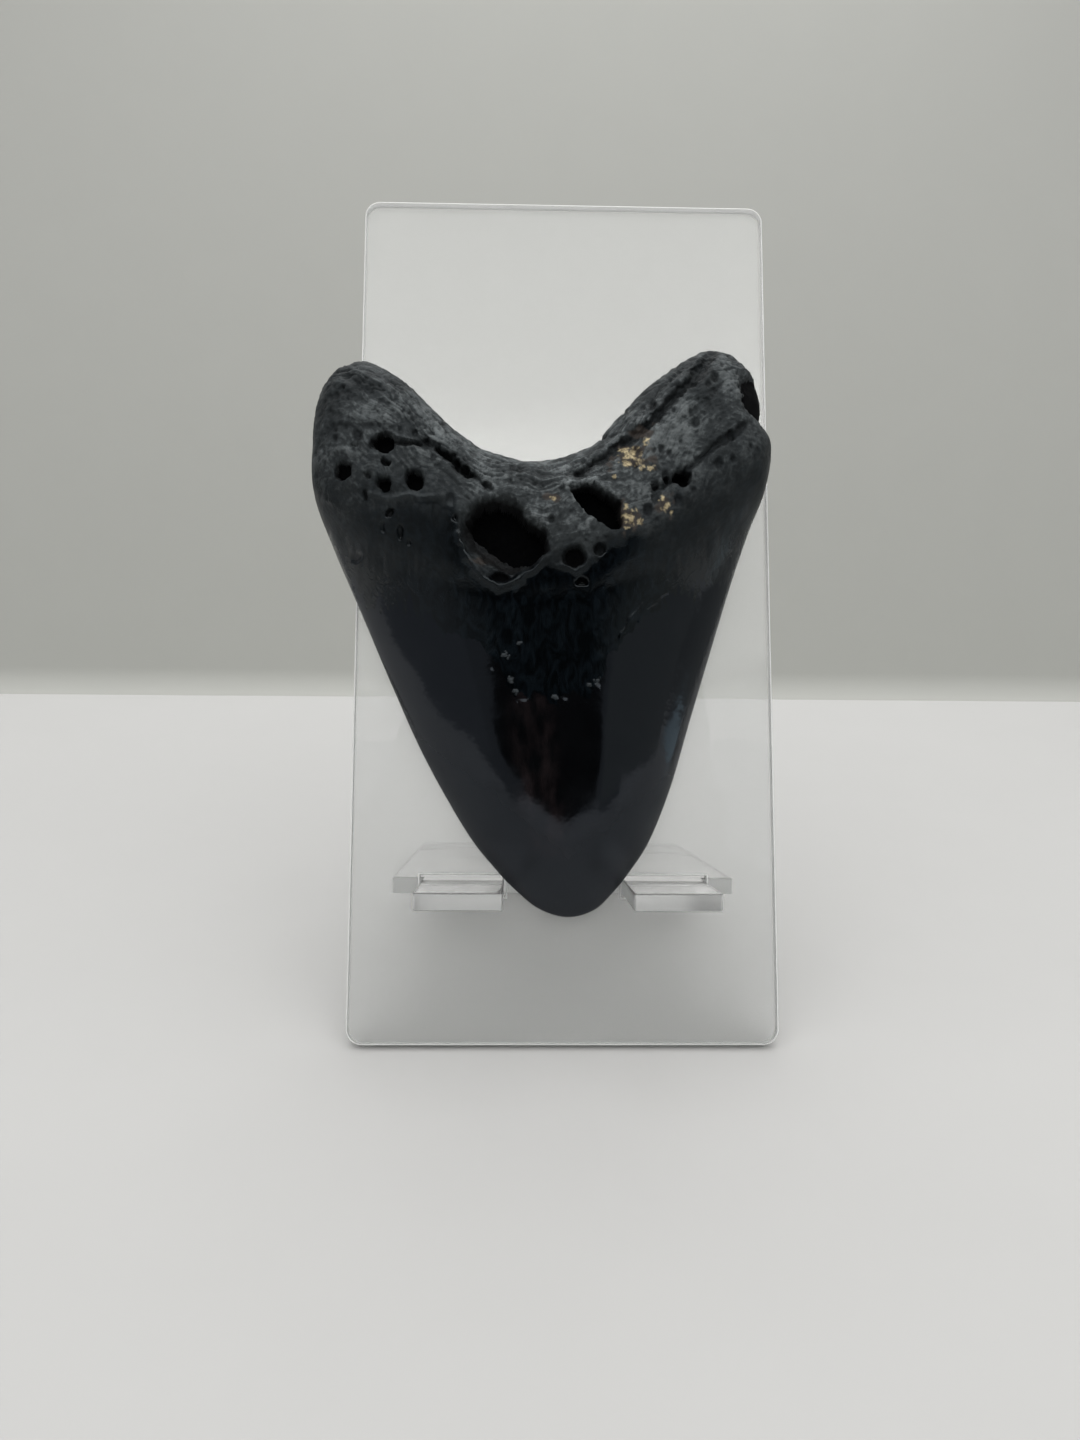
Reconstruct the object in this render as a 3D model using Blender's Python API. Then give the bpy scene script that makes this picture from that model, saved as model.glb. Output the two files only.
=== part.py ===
"""Megalodon tooth leaning on a two-piece easel of clear acrylic sheet.

The plate leans back on its lower rear edge. The support board is pushed through the
plate's two slots: its prongs stick out in front as a ledge, its shoulders stop behind
the plate, and its rear end stands on the table as the leg. The tooth lies on the plate
with its flat labial face, and its blade is wedged between the two prongs.

World frame: metres, +Z up, the viewer looks along +Y, and the origin is the middle of
the footprint on the table. Sizes below are in millimetres and degrees.
"""
from math import cos, radians, sin

import bmesh
import bpy
import numpy as np
from mathutils import Vector, geometry

MM = 0.001
GAP = 0.3                    # air left between pieces that touch

# Acrylic sheet
SHEET = 3.0
EDGE_BEVEL = 0.2
BEVEL_FROM = 40.0            # an edge that turns by more than this is eased
PLATE_LEAN = 25.2            # from the vertical
PLATE_WIDTH = 80.0
PLATE_HEIGHT = 165.0
PLATE_CORNER = 3.0

# Support board
BOARD_SLOPE = 19.8           # its rear end is the low one
LEDGE_HEIGHT = 30.2          # up the plate's front face to the board's upper face
PRONG_LENGTH = 18.7
PRONG_OUTER = 26.5           # from the middle to a prong's outer side
PRONG_INNER = 11.2           # from the middle to a prong's inner side
BOARD_WIDTH = 64.6
BOARD_REAR_CORNER = 4.0
PRONG_CORNER = 0.5
SLOT_HEIGHT = 4.1
SLOT_SIDE_CLEARANCE = 0.4
SLOT_CUTTER_DEPTH = 9.0      # three sheets, so it comes out on both sides
CORNER_STEPS = 8

# Where the tooth's tip sits on the plate: across, up the plate, off its front face
TOOTH_TIP = (0.5, 23.5, 0.0)

# Outline of the tooth seen square to the plate, from its tip, anticlockwise
TOOTH_OUTLINE = (
    (0.0, 0.0), (4.8, 1.2), (8.4, 4.4), (11.8, 8.6), (15.4, 14.2), (19.4, 24.0),
    (23.2, 36.5), (27.0, 49.0), (30.6, 61.0), (34.0, 71.5),            # right blade edge
    (36.8, 79.5), (37.4, 86.5), (35.6, 90.8), (35.7, 95.5), (34.2, 99.8),
    (30.6, 103.6), (26.2, 104.9), (21.4, 103.0), (15.8, 99.0),         # right lobe
    (9.4, 92.4), (3.6, 86.4), (-5.0, 83.6), (-13.6, 84.6),             # notch
    (-21.2, 88.8), (-27.8, 95.4), (-33.6, 100.0), (-39.2, 101.8),
    (-44.0, 99.4), (-46.6, 94.0), (-47.5, 86.0), (-47.4, 77.5),        # left lobe
    (-44.2, 68.5), (-38.5, 55.5), (-32.6, 42.0), (-26.5, 29.0),
    (-18.7, 15.6), (-13.4, 8.9), (-9.2, 4.6), (-5.0, 1.4),             # left blade edge
)

# Profiles up the tooth, as (height above the tip, value)
EDGE_OFF_PLATE = ((0, 3.2), (55, 3.4), (70, 5.5), (82, 9.5), (106, 11.0))
FRONT_OFF_PLATE = (
    (0, 6.0), (10, 9.0), (25, 12.0), (45, 14.6), (62, 16.6), (76, 18.6), (90, 20.2), (106, 19.0))
BACK_OFF_PLATE = ((0, 1.0), (12, 0.5), (80, 0.5), (106, 1.2))
FRONT_ROUNDING = (
    (0, 8.0), (10, 11.5), (25, 17.0), (45, 22.0), (60, 24.0), (72, 18.0), (84, 10.5), (106, 9.5))
BACK_ROUNDING = ((0, 5.0), (60, 6.0), (84, 9.0), (106, 9.0))
FRONT_POWER = ((0, 0.75), (60, 0.75), (80, 0.5), (106, 0.5))
BACK_POWER = 0.6

# Root: it stands proud of the enamel above a V-shaped line, as (across, height)
ROOT_LINE = ((-48, 78), (-31, 64.5), (-18, 58.5), (-8, 55.5), (4, 57.5), (19, 65), (37, 79))
ROOT_STEP = 0.9
ROOT_STEP_WIDTH = 2.2
BOSS = (-4.0, 74.0, 17.0, 9.0, 2.6)      # across, height, half-widths, how far proud

# Grooves in the lobes: points along each, half-width, depth
GROOVES = (
    (((-42, 98), (-36.5, 92.5), (-30.5, 88.5), (-25, 83), (-17.5, 78)), 1.4, 1.4),
    (((26, 100), (22, 96.5), (13, 88.5), (4, 81)), 1.4, 1.3),
    (((33, 89.5), (27, 84.5), (22.5, 81.5), (15.5, 76.5)), 1.2, 1.0),
)

# Pits: across, height, half-width, half-height, turn in degrees, depth
PITS = (
    (-11.8, 67.6, 7.8, 5.9, -18, 7.0),   # great foramen, and the scoop below it
    (-12.8, 61.6, 4.4, 3.7, 0, 2.4),
    (4.4, 72.4, 5.7, 2.8, -31, 4.5),     # almond-shaped foramen beside it
    (-33.3, 83.8, 2.1, 1.7, 0, 2.6),     # holes in the left lobe
    (-29.3, 83.6, 2.8, 0.9, 0, 1.2),
    (-40.6, 79.1, 1.6, 1.6, 0, 2.2),
    (-33.2, 76.6, 1.4, 1.3, 0, 2.0),
    (-27.9, 77.0, 1.9, 1.7, 0, 2.2),
    (19.4, 78.1, 1.8, 1.6, 0, 2.2),      # hole in the right lobe
    (0.6, 64.0, 2.3, 2.0, 0, 1.8),       # below the almond
    (5.0, 65.2, 1.3, 1.2, 0, 1.0),
    (1.9, 59.4, 1.3, 1.0, 0, 1.2),
)

# Mesh spacing on the tooth
CURVE_STEPS = 16             # between two points of the outline
LATTICE_ACROSS = (-50.0, 42.0)
LATTICE_HEIGHT = 110.0       # both reach past the outline
RIM_SPACING = 1.9
RIM_RINGS = (0.45, 1.3, 2.7)
CROWN_SPACING = 3.4
ROOT_SPACING = 2.0
BACK_SPACING = 5.0
PIT_FLOOR = 0.55             # the floor reaches this share of a pit's radius
PIT_WALL = 0.5
PIT_RINGS = (0.0, 0.35, 0.6, 0.85, 1.1)
PIT_SPACING = 1.1
PIT_CLEAR = 1.2              # the lattice keeps off a pit up to this share of its radius
PIT_POINT_GAP = 0.4
RIM_THINNING = 0.3           # nearest that two points come, as a share of their spacing
LATTICE_THINNING = 0.6
INSET_KEPT = 0.9             # a ring point nearer the rim than this share is dropped
ROOT_MARGIN = 3.0            # the root's finer spacing starts this far below its line
SAME_PLAN_POINT = 1e-6       # millimetres
SAME_VERTEX = 1e-7           # metres


def clear_scene():
    for thing in list(bpy.data.objects):
        bpy.data.objects.remove(thing, do_unlink=True)


def principled(name, colour, roughness, transmission=0.0, ior=1.5):
    material = bpy.data.materials.new(name)
    material.use_nodes = True
    shader = material.node_tree.nodes["Principled BSDF"]
    shader.inputs["Base Color"].default_value = (*colour, 1.0)
    shader.inputs["Roughness"].default_value = roughness
    shader.inputs["Metallic"].default_value = 0.0
    shader.inputs["Transmission Weight"].default_value = transmission
    shader.inputs["IOR"].default_value = ior
    return material


def add_object(name, mesh, material=None, parent=None):
    thing = bpy.data.objects.new(name, mesh)
    bpy.context.collection.objects.link(thing)
    thing.parent = parent
    if material is not None:
        mesh.materials.append(material)
    return thing


# ---------------------------------------------------------------- acrylic sheet

def rounded_polygon(corners):
    """Outline through (x, y, radius) corners, each rounded by an arc."""
    points = []
    for i, (x, y, radius) in enumerate(corners):
        here = Vector((x, y))
        before = (Vector(corners[i - 1][:2]) - here).normalized()
        after = (Vector(corners[(i + 1) % len(corners)][:2]) - here).normalized()
        if radius == 0:
            points.append(here)
            continue
        # All corners are right angles, so the arc's centre is one radius along both sides
        centre = here + (before + after) * radius
        for step in range(CORNER_STEPS + 1):
            turn = radians(90 * step / CORNER_STEPS)
            points.append(centre - after * radius * cos(turn) - before * radius * sin(turn))
    return points


def sheet_mesh(name, outline):
    """Closed slab of acrylic sheet whose upper face lies in the local XY plane."""
    build = bmesh.new()
    face = build.faces.new([build.verts.new((p.x * MM, p.y * MM, 0.0)) for p in outline])
    face.normal_update()
    if face.normal.z < 0:
        face.normal_flip()
    grown = bmesh.ops.extrude_face_region(build, geom=[face])
    below = [v for v in grown["geom"] if isinstance(v, bmesh.types.BMVert)]
    bmesh.ops.translate(build, vec=(0.0, 0.0, -SHEET * MM), verts=below)
    bmesh.ops.recalc_face_normals(build, faces=build.faces)
    mesh = bpy.data.meshes.new(name)
    build.to_mesh(mesh)
    build.free()
    return mesh


def soften_edges(thing):
    bevel = thing.modifiers.new("edge_bevel", 'BEVEL')
    bevel.width = EDGE_BEVEL * MM
    bevel.segments = 1
    bevel.limit_method = 'ANGLE'
    bevel.angle_limit = radians(BEVEL_FROM)


def slot_cutter(side, parent):
    """Box through the plate, a little wider and higher than one prong."""
    inner = PRONG_INNER - SLOT_SIDE_CLEARANCE
    outer = PRONG_OUTER + SLOT_SIDE_CLEARANCE
    low = LEDGE_HEIGHT - SHEET / cos(radians(PLATE_LEAN - BOARD_SLOPE)) - GAP
    mesh = bpy.data.meshes.new("slot_cutter")
    build = bmesh.new()
    bmesh.ops.create_cube(build, size=1.0)
    size = Vector((outer - inner, SLOT_HEIGHT, SLOT_CUTTER_DEPTH)) * MM
    bmesh.ops.scale(build, vec=size, verts=build.verts)
    build.to_mesh(mesh)
    build.free()
    cutter = add_object("slot_cutter", mesh, parent=parent)
    cutter.location = (side * (inner + outer) / 2 * MM, (low + SLOT_HEIGHT / 2) * MM, -SHEET / 2 * MM)
    cutter.hide_render = True
    cutter.display_type = 'WIRE'
    return cutter


def make_back_plate(material, parent):
    half = PLATE_WIDTH / 2
    outline = rounded_polygon([(-half, 0, PLATE_CORNER), (half, 0, PLATE_CORNER),
                               (half, PLATE_HEIGHT, PLATE_CORNER), (-half, PLATE_HEIGHT, PLATE_CORNER)])
    plate = add_object("back_plate", sheet_mesh("back_plate", outline), material, parent)
    for side in (-1, 1):
        cut = plate.modifiers.new("slot", 'BOOLEAN')
        cut.operation = 'DIFFERENCE'
        cut.solver = 'EXACT'
        cut.object = slot_cutter(side, parent)
    soften_edges(plate)


def ledge_point():
    """World place, in mm, where the board's upper face meets the plate's front face."""
    lean = radians(PLATE_LEAN)
    return LEDGE_HEIGHT * sin(lean), LEDGE_HEIGHT * cos(lean) + SHEET * sin(lean)


def make_support_board(material, parent):
    """Local X across, Y to the rear along the board, origin in the plate's front face."""
    slope = radians(BOARD_SLOPE)
    tilt = radians(PLATE_LEAN - BOARD_SLOPE)
    ledge_y, ledge_z = ledge_point()
    shoulder = SHEET / cos(tilt) + GAP
    rear = (ledge_z - SHEET * cos(slope)) / sin(slope)
    half = BOARD_WIDTH / 2
    front = -PRONG_LENGTH
    tip = PRONG_CORNER
    outline = rounded_polygon([
        (-half, rear, BOARD_REAR_CORNER), (-half, shoulder, tip), (-PRONG_OUTER, shoulder, 0),
        (-PRONG_OUTER, front, tip), (-PRONG_INNER, front, tip), (-PRONG_INNER, shoulder, 0),
        (PRONG_INNER, shoulder, 0), (PRONG_INNER, front, tip), (PRONG_OUTER, front, tip),
        (PRONG_OUTER, shoulder, 0), (half, shoulder, tip), (half, rear, BOARD_REAR_CORNER)])
    board = add_object("support_board", sheet_mesh("support_board", outline), material, parent)
    board.location = (0.0, ledge_y * MM, ledge_z * MM)
    board.rotation_euler = (-slope, 0.0, 0.0)
    soften_edges(board)


# ---------------------------------------------------------------- tooth

def along(height, stations):
    """Smooth curve through (height, value) stations."""
    at, value = np.array(stations, float).T
    slope = np.gradient(value, at)
    height = np.clip(height, at[0], at[-1])
    i = np.clip(np.searchsorted(at, height) - 1, 0, len(at) - 2)
    span = at[i + 1] - at[i]
    t = (height - at[i]) / span
    return ((1 + 2 * t) * (1 - t) ** 2 * value[i] + t * (1 - t) ** 2 * span * slope[i]
            + t * t * (3 - 2 * t) * value[i + 1] - t * t * (1 - t) * span * slope[i + 1])


def smooth_step(t):
    t = np.clip(t, 0.0, 1.0)
    return t * t * (3 - 2 * t)


def closed_curve(points, spacing):
    """Evenly spaced points on a smooth closed curve through the given ones."""
    p = np.array(points, float)
    before, after, beyond = np.roll(p, 1, 0), np.roll(p, -1, 0), np.roll(p, -2, 0)
    t = np.linspace(0, 1, CURVE_STEPS, endpoint=False)[None, :, None]
    a, b, c, d = (q[:, None, :] for q in (before, p, after, beyond))
    fine = 0.5 * (2 * b + (c - a) * t + (2 * a - 5 * b + 4 * c - d) * t ** 2 + (3 * b - a - 3 * c + d) * t ** 3)
    fine = fine.reshape(-1, 2)
    loop = np.vstack([fine, fine[:1]])
    length = np.concatenate([[0], np.cumsum(np.linalg.norm(np.diff(loop, axis=0), axis=1))])
    stops = np.linspace(0, length[-1], round(length[-1] / spacing), endpoint=False)
    return np.stack([np.interp(stops, length, loop[:, k]) for k in (0, 1)], 1)


def distance_to_path(xy, path):
    """Distance from each point to the nearest stretch of a path of points."""
    start, step = path[:-1], np.diff(path, axis=0)
    best = np.full(len(xy), np.inf)
    for s, d in zip(start, step):
        t = np.clip(((xy - s) @ d) / (d @ d), 0, 1)
        best = np.minimum(best, np.hypot(*(xy - s - t[:, None] * d).T))
    return best


def rim_profile(distance, radius, power):
    """0 at the rim, 1 beyond the given radius, with a rounded shoulder between."""
    t = np.clip(distance / radius, 0, 1)
    return (1 - (1 - t) ** 2) ** power


def pit_radius(xy, pit):
    """Distance from a pit's middle, where 1 is its rim."""
    x, y, half_width, half_height, turn, _ = pit
    a = radians(turn)
    dx, dy = xy[:, 0] - x, xy[:, 1] - y
    return np.hypot((dx * cos(a) + dy * sin(a)) / half_width, (dy * cos(a) - dx * sin(a)) / half_height)


def relief(xy):
    """Height of the root's forms over the smooth lingual face."""
    x, y = xy.T
    above = y - np.interp(x, *np.array(ROOT_LINE, float).T)
    rise = ROOT_STEP * smooth_step(above / ROOT_STEP_WIDTH + 0.5)
    bx, by, bw, bh, proud = BOSS
    rise += proud * np.exp(-((x - bx) / bw) ** 2 - ((y - by) / bh) ** 2)
    for path, half_width, depth in GROOVES:
        away = distance_to_path(xy, np.array(path, float))
        rise -= depth * np.exp(-(away / half_width) ** 2)
    sunk = np.zeros(len(xy))
    for pit in PITS:
        sunk = np.maximum(sunk, pit[-1] * (1 - smooth_step((pit_radius(xy, pit) - PIT_FLOOR) / PIT_WALL)))
    return rise - sunk


def front_height(xy, rim):
    y = xy[:, 1]
    away = distance_to_path(xy, rim)
    edge = along(y, EDGE_OFF_PLATE)
    full = along(y, FRONT_OFF_PLATE) + relief(xy)
    return edge + (full - edge) * rim_profile(away, along(y, FRONT_ROUNDING), along(y, FRONT_POWER))


def back_height(xy, rim):
    y = xy[:, 1]
    away = distance_to_path(xy, rim)
    edge = along(y, EDGE_OFF_PLATE)
    return edge + (along(y, BACK_OFF_PLATE) - edge) * rim_profile(away, along(y, BACK_ROUNDING), BACK_POWER)


def thinned(points, spacing, kept):
    """Points that stay a spacing clear of each other and of the kept ones."""
    kept = [np.asarray(p) for p in kept]
    fresh = []
    for point, gap in zip(points, spacing):
        near = np.array(kept)
        if np.min(np.hypot(*(near - point).T)) >= gap:
            kept.append(point)
            fresh.append(point)
    return fresh


def hexagonal_lattice(spacing):
    row = spacing * sin(radians(60))
    heights = np.arange(0, LATTICE_HEIGHT, row)
    across = np.arange(*LATTICE_ACROSS, spacing)
    return np.array([(x + (k % 2) * spacing / 2, y) for k, y in enumerate(heights) for x in across])


def surface_points(ring, rim, spacing_of, pits):
    """Points inside the outline: rings along the rim and the pits, then a lattice."""
    normal = np.roll(ring, 1, 0) - np.roll(ring, -1, 0)
    normal = np.stack([normal[:, 1], -normal[:, 0]], 1)
    normal /= np.linalg.norm(normal, axis=1)[:, None]
    points = []
    for inset in RIM_RINGS:
        row = ring + normal * inset
        row = row[distance_to_path(row, rim) > INSET_KEPT * inset]
        gap = np.full(len(row), RIM_THINNING * RIM_SPACING)
        points += thinned(row, gap, list(ring) + points)
    for pit in pits:
        x, y, half_width, half_height, turn, _ = pit
        a = radians(turn)
        for scale in PIT_RINGS:
            round_trip = 2 * np.pi * scale * (half_width + half_height) / 2
            count = max(8, round(round_trip / PIT_SPACING)) if scale else 1
            angle = np.arange(count) / count * 2 * np.pi
            px, py = scale * half_width * np.cos(angle), scale * half_height * np.sin(angle)
            ring_xy = np.stack([x + px * cos(a) - py * sin(a), y + px * sin(a) + py * cos(a)], 1)
            points += thinned(ring_xy, np.full(count, PIT_POINT_GAP), list(ring) + points)
    for spacing, inside in spacing_of:
        lattice = hexagonal_lattice(spacing)
        lattice = lattice[inside(lattice)]
        lattice = lattice[(distance_to_path(lattice, rim) > RIM_RINGS[-1] + spacing / 2)
                          & is_inside(lattice, rim)]
        clear = np.ones(len(lattice), bool)
        for pit in pits:
            clear &= pit_radius(lattice, pit) > PIT_CLEAR
        lattice = lattice[clear]
        points += thinned(lattice, np.full(len(lattice), LATTICE_THINNING * spacing), list(ring) + points)
    return np.array(list(ring) + points)


def is_inside(xy, rim):
    """Even-odd test against the closed outline."""
    inside = np.zeros(len(xy), bool)
    x, y = xy.T
    for (x0, y0), (x1, y1) in zip(rim[:-1], rim[1:]):
        crosses = (y0 > y) != (y1 > y)
        if y0 != y1:
            inside ^= crosses & (x < (x1 - x0) * (y - y0) / (y1 - y0) + x0)
    return inside


def add_surface(build, xy, heights, ring_count):
    """Triangulate one face of the tooth inside its outline and lift it to its heights."""
    flat, _, triangles, origin, _, _ = geometry.delaunay_2d_cdt(
        [Vector(p) for p in xy], [], [list(range(ring_count))], 1, SAME_PLAN_POINT)
    verts = [build.verts.new((p.x * MM, p.y * MM, heights[source[0]] * MM)) for p, source in zip(flat, origin)]
    for triangle in triangles:
        build.faces.new([verts[i] for i in triangle])


def make_tooth(material, parent):
    """Local X across, Y up the tooth from its tip, Z off the plate."""
    ring = closed_curve(TOOTH_OUTLINE, RIM_SPACING)
    rim = np.vstack([ring, ring[:1]])

    def above_root_line(xy):
        return xy[:, 1] > np.interp(xy[:, 0], *np.array(ROOT_LINE, float).T) - ROOT_MARGIN

    def below_root_line(xy):
        return ~above_root_line(xy)

    def anywhere(xy):
        return np.ones(len(xy), bool)

    front = surface_points(ring, rim, ((ROOT_SPACING, above_root_line), (CROWN_SPACING, below_root_line)), PITS)
    back = surface_points(ring, rim, ((BACK_SPACING, anywhere),), ())
    build = bmesh.new()
    add_surface(build, front, front_height(front, rim), len(ring))
    add_surface(build, back, back_height(back, rim), len(ring))
    bmesh.ops.remove_doubles(build, verts=build.verts, dist=SAME_VERTEX)
    bmesh.ops.recalc_face_normals(build, faces=build.faces)
    mesh = bpy.data.meshes.new("tooth")
    build.to_mesh(mesh)
    build.free()
    mesh.shade_smooth()
    tooth = add_object("tooth", mesh, material, parent)
    tooth.location = [v * MM for v in TOOTH_TIP]


# ---------------------------------------------------------------- assembly

def centre_over_origin(stand):
    """Put the middle of the whole object's box over the origin and its lowest edge at 0."""
    bpy.context.view_layer.update()
    graph = bpy.context.evaluated_depsgraph_get()
    corners = []
    for thing in stand.children_recursive:
        if thing.type == 'MESH' and not thing.hide_render:
            solid = thing.evaluated_get(graph)
            corners += [solid.matrix_world @ vert.co for vert in solid.to_mesh().vertices]
            solid.to_mesh_clear()
    corners = np.array(corners)
    low, high = corners.min(axis=0), corners.max(axis=0)
    stand.location = (-(low[0] + high[0]) / 2, -(low[1] + high[1]) / 2, -low[2])


clear_scene()
acrylic = principled("clear_acrylic", (0.95, 0.96, 0.95), 0.03, transmission=1.0, ior=1.49)
black_fossil = principled("black_fossil", (0.012, 0.013, 0.014), 0.35)

stand = bpy.data.objects.new("stand", None)
bpy.context.collection.objects.link(stand)

# Local axes of the leaning frame: X across, Y up the plate, Z out of its front face
leaning = bpy.data.objects.new("leaning_frame", None)
bpy.context.collection.objects.link(leaning)
leaning.parent = stand
leaning.rotation_euler = (radians(90 - PLATE_LEAN), 0.0, 0.0)
leaning.location = (0.0, 0.0, SHEET * sin(radians(PLATE_LEAN)) * MM)

make_back_plate(acrylic, leaning)
make_support_board(acrylic, stand)
make_tooth(black_fossil, leaning)
centre_over_origin(stand)
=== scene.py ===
from math import cos, radians, sin

import bmesh
import bpy
import numpy as np
from mathutils import Matrix, Vector, geometry, kdtree, noise


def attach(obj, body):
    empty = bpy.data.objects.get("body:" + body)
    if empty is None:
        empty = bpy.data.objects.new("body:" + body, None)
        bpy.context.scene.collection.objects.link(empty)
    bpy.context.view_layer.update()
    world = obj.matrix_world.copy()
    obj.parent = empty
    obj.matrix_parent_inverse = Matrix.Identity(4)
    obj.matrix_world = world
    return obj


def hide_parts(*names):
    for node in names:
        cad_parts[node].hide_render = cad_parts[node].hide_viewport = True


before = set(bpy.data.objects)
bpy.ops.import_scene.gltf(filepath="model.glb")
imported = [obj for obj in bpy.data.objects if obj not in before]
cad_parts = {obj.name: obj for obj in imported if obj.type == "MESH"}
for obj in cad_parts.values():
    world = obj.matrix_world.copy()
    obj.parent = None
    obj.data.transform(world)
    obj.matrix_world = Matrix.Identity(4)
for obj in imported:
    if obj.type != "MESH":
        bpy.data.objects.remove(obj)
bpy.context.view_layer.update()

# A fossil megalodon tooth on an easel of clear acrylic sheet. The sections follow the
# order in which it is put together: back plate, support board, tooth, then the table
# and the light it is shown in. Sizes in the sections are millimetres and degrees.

# ---------------------------------------------------------------- back plate
# A plate of clear cast acrylic (PMMA), 3 mm thick, that leans back on its lower rear
# edge. It is cut by laser, with two slots near its foot; the faces keep the sheet's
# polish, the cut edges are frosted and their sharp corners are eased.

MM = 0.001
SHEET = 3.0
PLATE_LEAN = 25.2                            # from the vertical
PLATE_WIDTH, PLATE_HEIGHT, PLATE_CORNER = 80.0, 165.0, 3.0
PLATE_FOOT = (3.603, -39.357, 1.209)         # middle of the lower front edge
SLOT_INNER, SLOT_LOW = 10.8, 26.887          # from the middle line, and up from the foot
SLOT_WIDTH, SLOT_HEIGHT = 16.1, 4.1
PLATE_HAZE, PLATE_EDGE_HAZE = 0.15, 0.6      # share of the light that each surface scatters
CORNER_STEPS = 16
EASE, EASE_STEPS, EASE_FROM = 0.26, 3, 40.0  # an edge that turns by more degrees is eased
POLISHED, CUT = 0, 1                         # a sheet's two materials
KEEP_INSIDE, SAME_POINT = 1, 1e-6            # what a triangulation keeps, and what it joins


def rounded(corners):
    """Closed outline through right-angled (x, y, radius) corners, each turned by an arc."""
    points = []
    for i, (x, y, radius) in enumerate(corners):
        here = Vector((x, y))
        if not radius:
            points.append(here)
            continue
        before = (Vector(corners[i - 1][:2]) - here).normalized()
        after = (Vector(corners[(i + 1) % len(corners)][:2]) - here).normalized()
        centre = here + (before + after) * radius
        for step in range(CORNER_STEPS + 1):
            turn = radians(90 * step / CORNER_STEPS)
            points.append(centre - after * radius * cos(turn) - before * radius * sin(turn))
    return points


def cut_sheet(name, outlines, place):
    """Slab cut from the sheet: the first outline is its edge, the others are holes.
    Its upper face lies in the local XY plane."""
    rings, points = [], []
    for outline in outlines:
        rings.append(list(range(len(points), len(points) + len(outline))))
        points += outline
    flat, _, triangles, _, _, within = geometry.delaunay_2d_cdt(
        points, [], rings, KEEP_INSIDE, SAME_POINT)
    build = bmesh.new()
    verts = [build.verts.new((p.x * MM, p.y * MM, 0.0)) for p in flat]
    faces = [build.faces.new([verts[i] for i in triangle])
             for triangle, inside in zip(triangles, within) if inside == [0]]
    grown = bmesh.ops.extrude_face_region(build, geom=faces, use_keep_orig=True)
    below = [v for v in grown["geom"] if isinstance(v, bmesh.types.BMVert)]
    bmesh.ops.translate(build, vec=(0.0, 0.0, -SHEET * MM), verts=below)
    bmesh.ops.recalc_face_normals(build, faces=build.faces)
    for face in build.faces:
        face.smooth = True
        face.material_index = CUT if abs(face.normal.z) < 0.5 else POLISHED
    mesh = bpy.data.meshes.new(name)
    build.to_mesh(mesh)
    build.free()
    mesh.transform(place)
    piece = bpy.data.objects.new(name, mesh)
    bpy.context.collection.objects.link(piece)
    soften = piece.modifiers.new("eased_edge", 'BEVEL')
    soften.width = EASE * MM
    soften.segments = EASE_STEPS
    soften.limit_method = 'ANGLE'
    soften.angle_limit = radians(EASE_FROM)
    soften.harden_normals = True
    soften.use_clamp_overlap = False
    soften.loop_slide = False
    soften.material = CUT
    return piece


def srgb(colour):
    """Linear RGBA of an sRGB hex value."""
    channels = [int(colour[i:i + 2], 16) / 255 for i in (1, 3, 5)]
    return (*[c / 12.92 if c <= 0.04045 else ((c + 0.055) / 1.055) ** 2.4 for c in channels], 1.0)


def put(tree, kind, inputs=None, **settings):
    """Add a node with its settings, and link or set its inputs."""
    node = tree.nodes.new("ShaderNode" + kind)
    for name, value in settings.items():
        setattr(node, name, value)
    for key, value in (inputs or {}).items():
        if isinstance(value, bpy.types.NodeSocket):
            tree.links.new(value, node.inputs[key])
        else:
            node.inputs[key].default_value = value
    return node


def new_material(name):
    """Empty node material with its surface output; returns it, its tree and the output."""
    material = bpy.data.materials.new(name)
    material.use_nodes = True
    tree = material.node_tree
    tree.nodes.clear()
    return material, tree, put(tree, "OutputMaterial")


def in_mm(tree, place):
    """Texture coordinates in millimetres, in a piece's own axes."""
    where = put(tree, "TexCoord").outputs["Object"]
    return put(tree, "Mapping", {"Vector": where, "Location": place.to_translation(),
                                 "Rotation": place.to_euler(), "Scale": (MM, MM, MM)},
               vector_type='TEXTURE').outputs[0]


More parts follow.
